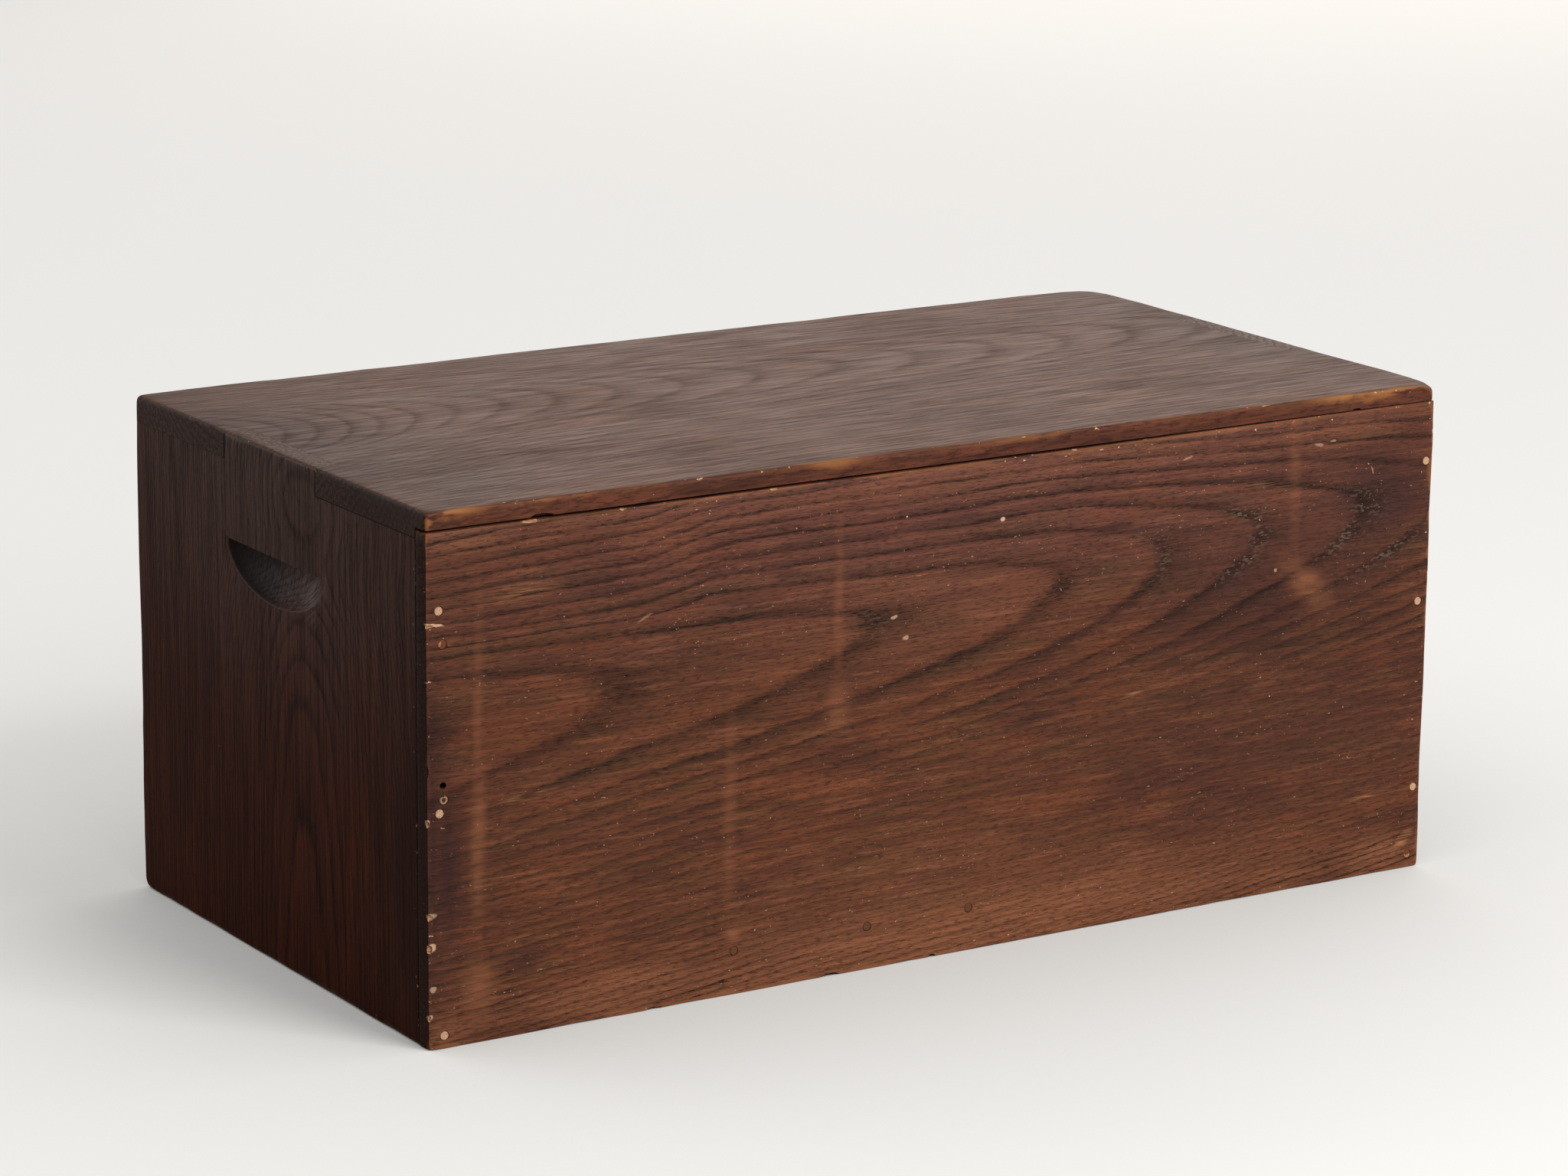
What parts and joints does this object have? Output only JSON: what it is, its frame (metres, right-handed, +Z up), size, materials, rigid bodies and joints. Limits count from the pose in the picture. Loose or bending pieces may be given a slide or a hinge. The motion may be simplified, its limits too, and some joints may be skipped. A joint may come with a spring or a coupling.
{
  "type": "table cabinet",
  "caption": "Low wooden table cabinet: finger-jointed case with a pegged back board, half-moon hand-holds in the ends and short drawers over a long one.",
  "frame": {"origin": "on the ground under the middle of the part's box, knobs included", "axes": "+X along the long side, +Y out of the pegged back board, drawers open along -Y, +Z up"},
  "size_m": [0.52, 0.2834, 0.228],
  "materials": {
    "back_wood": "old red-brown finish, satin, worn",
    "top_wood": "old greyish-brown finish, satin, worn",
    "end_wood": "old dark brown finish, satin",
    "inner_wood": "bare planed wood, matt",
    "peg_wood": "bare pale wood, matt",
    "knob_wood": "turned, dark finish, satin"
  },
  "bodies": {
    "case": {"top_board": "top_wood", "left_end": "end_wood", "right_end": "end_wood", "back_board": "back_wood", "bottom_board": "inner_wood", "mid_shelf": "inner_wood", "upper_divider": "inner_wood", "plinth_rail": "back_wood", "back_peg_right_1": "peg_wood", "back_peg_right_2": "peg_wood", "back_peg_right_3": "peg_wood", "back_peg_right_4": "peg_wood", "back_peg_right_5": "peg_wood", "back_peg_left_1": "peg_wood", "back_peg_left_2": "peg_wood", "back_peg_left_3": "peg_wood", "back_peg_left_4": "peg_wood", "back_peg_bottom_1": "peg_wood", "back_peg_bottom_2": "peg_wood", "back_peg_bottom_3": "peg_wood"},
    "long_drawer": {"long_drawer_front": "back_wood", "long_drawer_left_side": "inner_wood", "long_drawer_right_side": "inner_wood", "long_drawer_back": "inner_wood", "long_drawer_bottom": "inner_wood", "long_drawer_knob_1": "knob_wood", "long_drawer_knob_2": "knob_wood"},
    "left_drawer": {"left_drawer_front": "back_wood", "left_drawer_left_side": "inner_wood", "left_drawer_right_side": "inner_wood", "left_drawer_back": "inner_wood", "left_drawer_bottom": "inner_wood", "left_drawer_knob": "knob_wood"},
    "right_drawer": {"right_drawer_front": "back_wood", "right_drawer_left_side": "inner_wood", "right_drawer_right_side": "inner_wood", "right_drawer_back": "inner_wood", "right_drawer_bottom": "inner_wood", "right_drawer_knob": "knob_wood"}
  },
  "joints": [
    {"name": "long_drawer_slide", "type": "slide", "parent": "case", "child": "long_drawer", "axis": [0, -1, 0], "range_m": [0, 0.2]},
    {"name": "left_drawer_slide", "type": "slide", "parent": "case", "child": "left_drawer", "axis": [0, -1, 0], "range_m": [0, 0.2]},
    {"name": "right_drawer_slide", "type": "slide", "parent": "case", "child": "right_drawer", "axis": [0, -1, 0], "range_m": [0, 0.2]}
  ]
}
